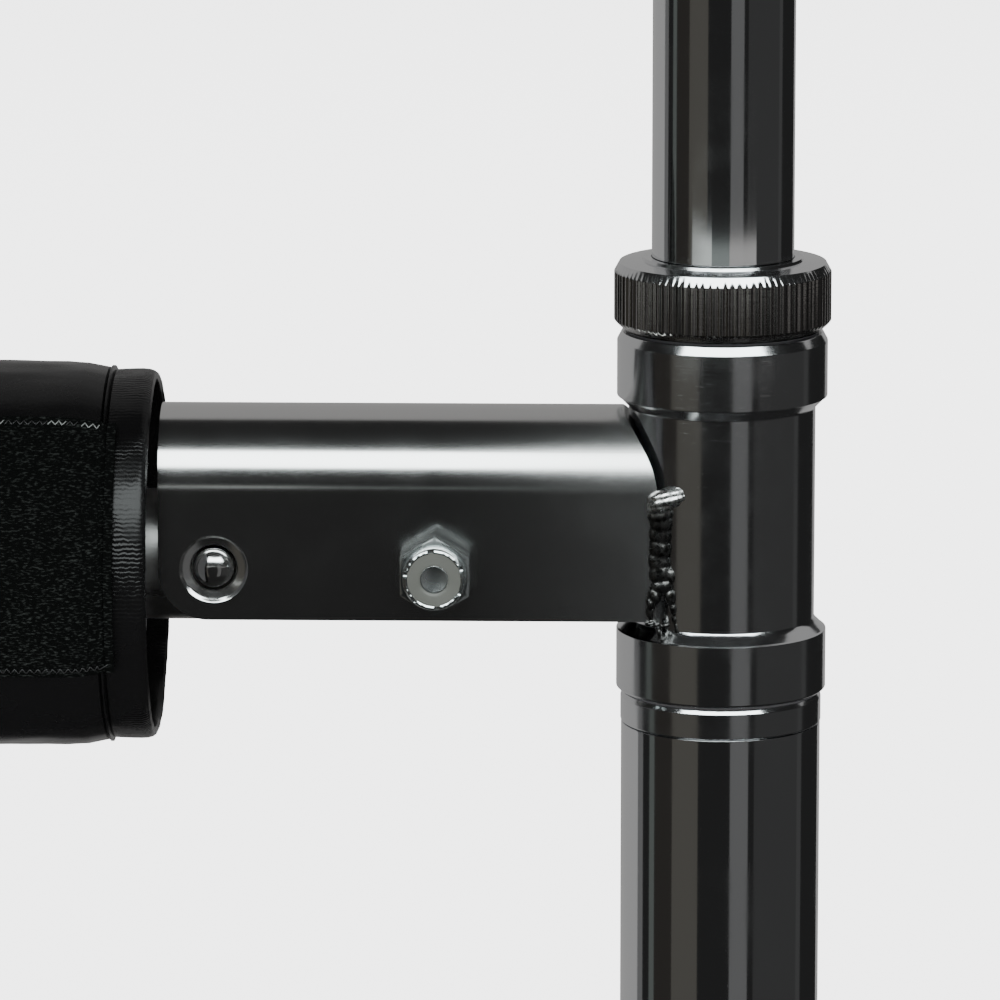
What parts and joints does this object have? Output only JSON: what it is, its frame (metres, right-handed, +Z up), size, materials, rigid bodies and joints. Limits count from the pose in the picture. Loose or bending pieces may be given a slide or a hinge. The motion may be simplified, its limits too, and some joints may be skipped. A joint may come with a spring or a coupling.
{
  "type": "swivelling padded arm on a pull up bar post",
  "caption": "Chromed post section with a swivel hub, a knurled locking ring and a channel bracket that carries a fold-down arm with a padded roll.",
  "frame": {"origin": "centre of the lower end of the post", "axes": "+Z up along the post; the arm points along -X; the pivot nut and snap button face -Y"},
  "size_m": [0.3327, 0.0748, 0.4715],
  "materials": {
    "post_chrome": "polished chrome plating on steel tube",
    "turned_chrome": "chrome plating over fine turning marks",
    "bracket_plate": "satin nickel-chrome plating on folded sheet",
    "weld_metal": "plated over rough weld bead",
    "zinc_hardware": "bright zinc plating",
    "bronze_bush": "sintered bronze",
    "black_nylon": "moulded nylon",
    "insert_grey": "fibre insert",
    "black_plastic": "fine moulded grain",
    "arm_steel": "nickel-plated tube",
    "foam": "closed-cell foam",
    "leatherette": "glossy grained vinyl leatherette",
    "loop_pile": "woven loop pile",
    "spring_steel": "tempered spring steel",
    "button_chrome": "plated, polished dome"
  },
  "bodies": {
    "post": {"lower_post": "post_chrome", "post_foot_plug": "black_plastic", "post_top_bush": "turned_chrome", "upper_shaft": "post_chrome", "shaft_top_plug": "black_plastic", "thread_collar": "zinc_hardware", "thrust_washer": "black_nylon"},
    "hub": {"swivel_hub": "turned_chrome", "hub_bush_lower": "bronze_bush", "hub_bush_upper": "bronze_bush", "channel_bracket": "bracket_plate", "bracket_weld_near": "weld_metal", "bracket_weld_far": "weld_metal", "pivot_bolt": "zinc_hardware", "pivot_washer": "zinc_hardware", "pivot_nut": "zinc_hardware", "nut_insert": "insert_grey"},
    "arm": {"arm_tube": "arm_steel", "pivot_sleeve": "zinc_hardware", "arm_end_cap": "black_plastic", "foam_core": "foam", "pad_cover": "leatherette", "loop_tape": "loop_pile", "button_clip": "spring_steel"},
    "button": {"snap_button": "button_chrome"},
    "washer": {"ring_washer": "black_nylon"},
    "ring": {"knurled_ring": "turned_chrome"}
  },
  "joints": [
    {"name": "hub_swivel", "type": "hinge", "parent": "post", "child": "hub", "pos_m": [0, 0, 0.26], "axis": [0, 0, 1], "continuous": true},
    {"name": "arm_fold", "type": "hinge", "parent": "hub", "child": "arm", "pos_m": [-0.054, 0, 0.29185], "axis": [0, -1, 0], "range_deg": [0, 87]},
    {"name": "button_press", "type": "slide", "parent": "arm", "child": "button", "axis": [0, 1, 0], "range_m": [0, 0.004], "stiffness_N_per_m": 1500, "springref_m": -0.002, "deforming": ["button_clip", "snap_button"]},
    {"name": "ring_lift", "type": "slide", "parent": "post", "child": "washer", "axis": [0, 0, 1], "range_m": [0, 0.0015]},
    {"name": "ring_turn", "type": "hinge", "parent": "washer", "child": "ring", "pos_m": [0, 0, 0.26], "axis": [0, 0, 1], "range_deg": [0, 360]}
  ],
  "couplings": [
    {"joint": "ring_lift", "follows": "ring_turn", "m_per_rad": 0.000238}
  ]
}
